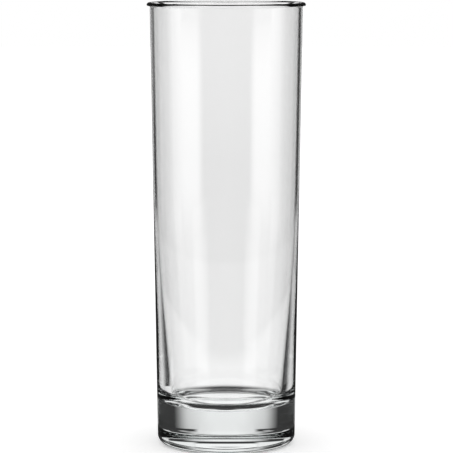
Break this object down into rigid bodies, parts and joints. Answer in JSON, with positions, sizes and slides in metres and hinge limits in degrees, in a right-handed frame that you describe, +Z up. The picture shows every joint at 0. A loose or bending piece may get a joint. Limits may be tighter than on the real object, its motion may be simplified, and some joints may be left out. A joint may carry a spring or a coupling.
{
  "type": "tall tumbler",
  "caption": "Tall slim drinking tumbler in clear glass, gently tapered, with a small rolled lip, a thin upper wall and a heavy solid base.",
  "frame": {"origin": "centre of the foot, on the plane of the table", "axes": "+Z up along the axis of the glass; the glass is round, so X and Y are any two level directions"},
  "size_m": [0.0588, 0.0588, 0.165],
  "materials": {
    "clear_glass": "fire-polished, clear and colourless"
  },
  "bodies": {
    "root": {"tumbler": "clear_glass"}
  },
  "joints": []
}
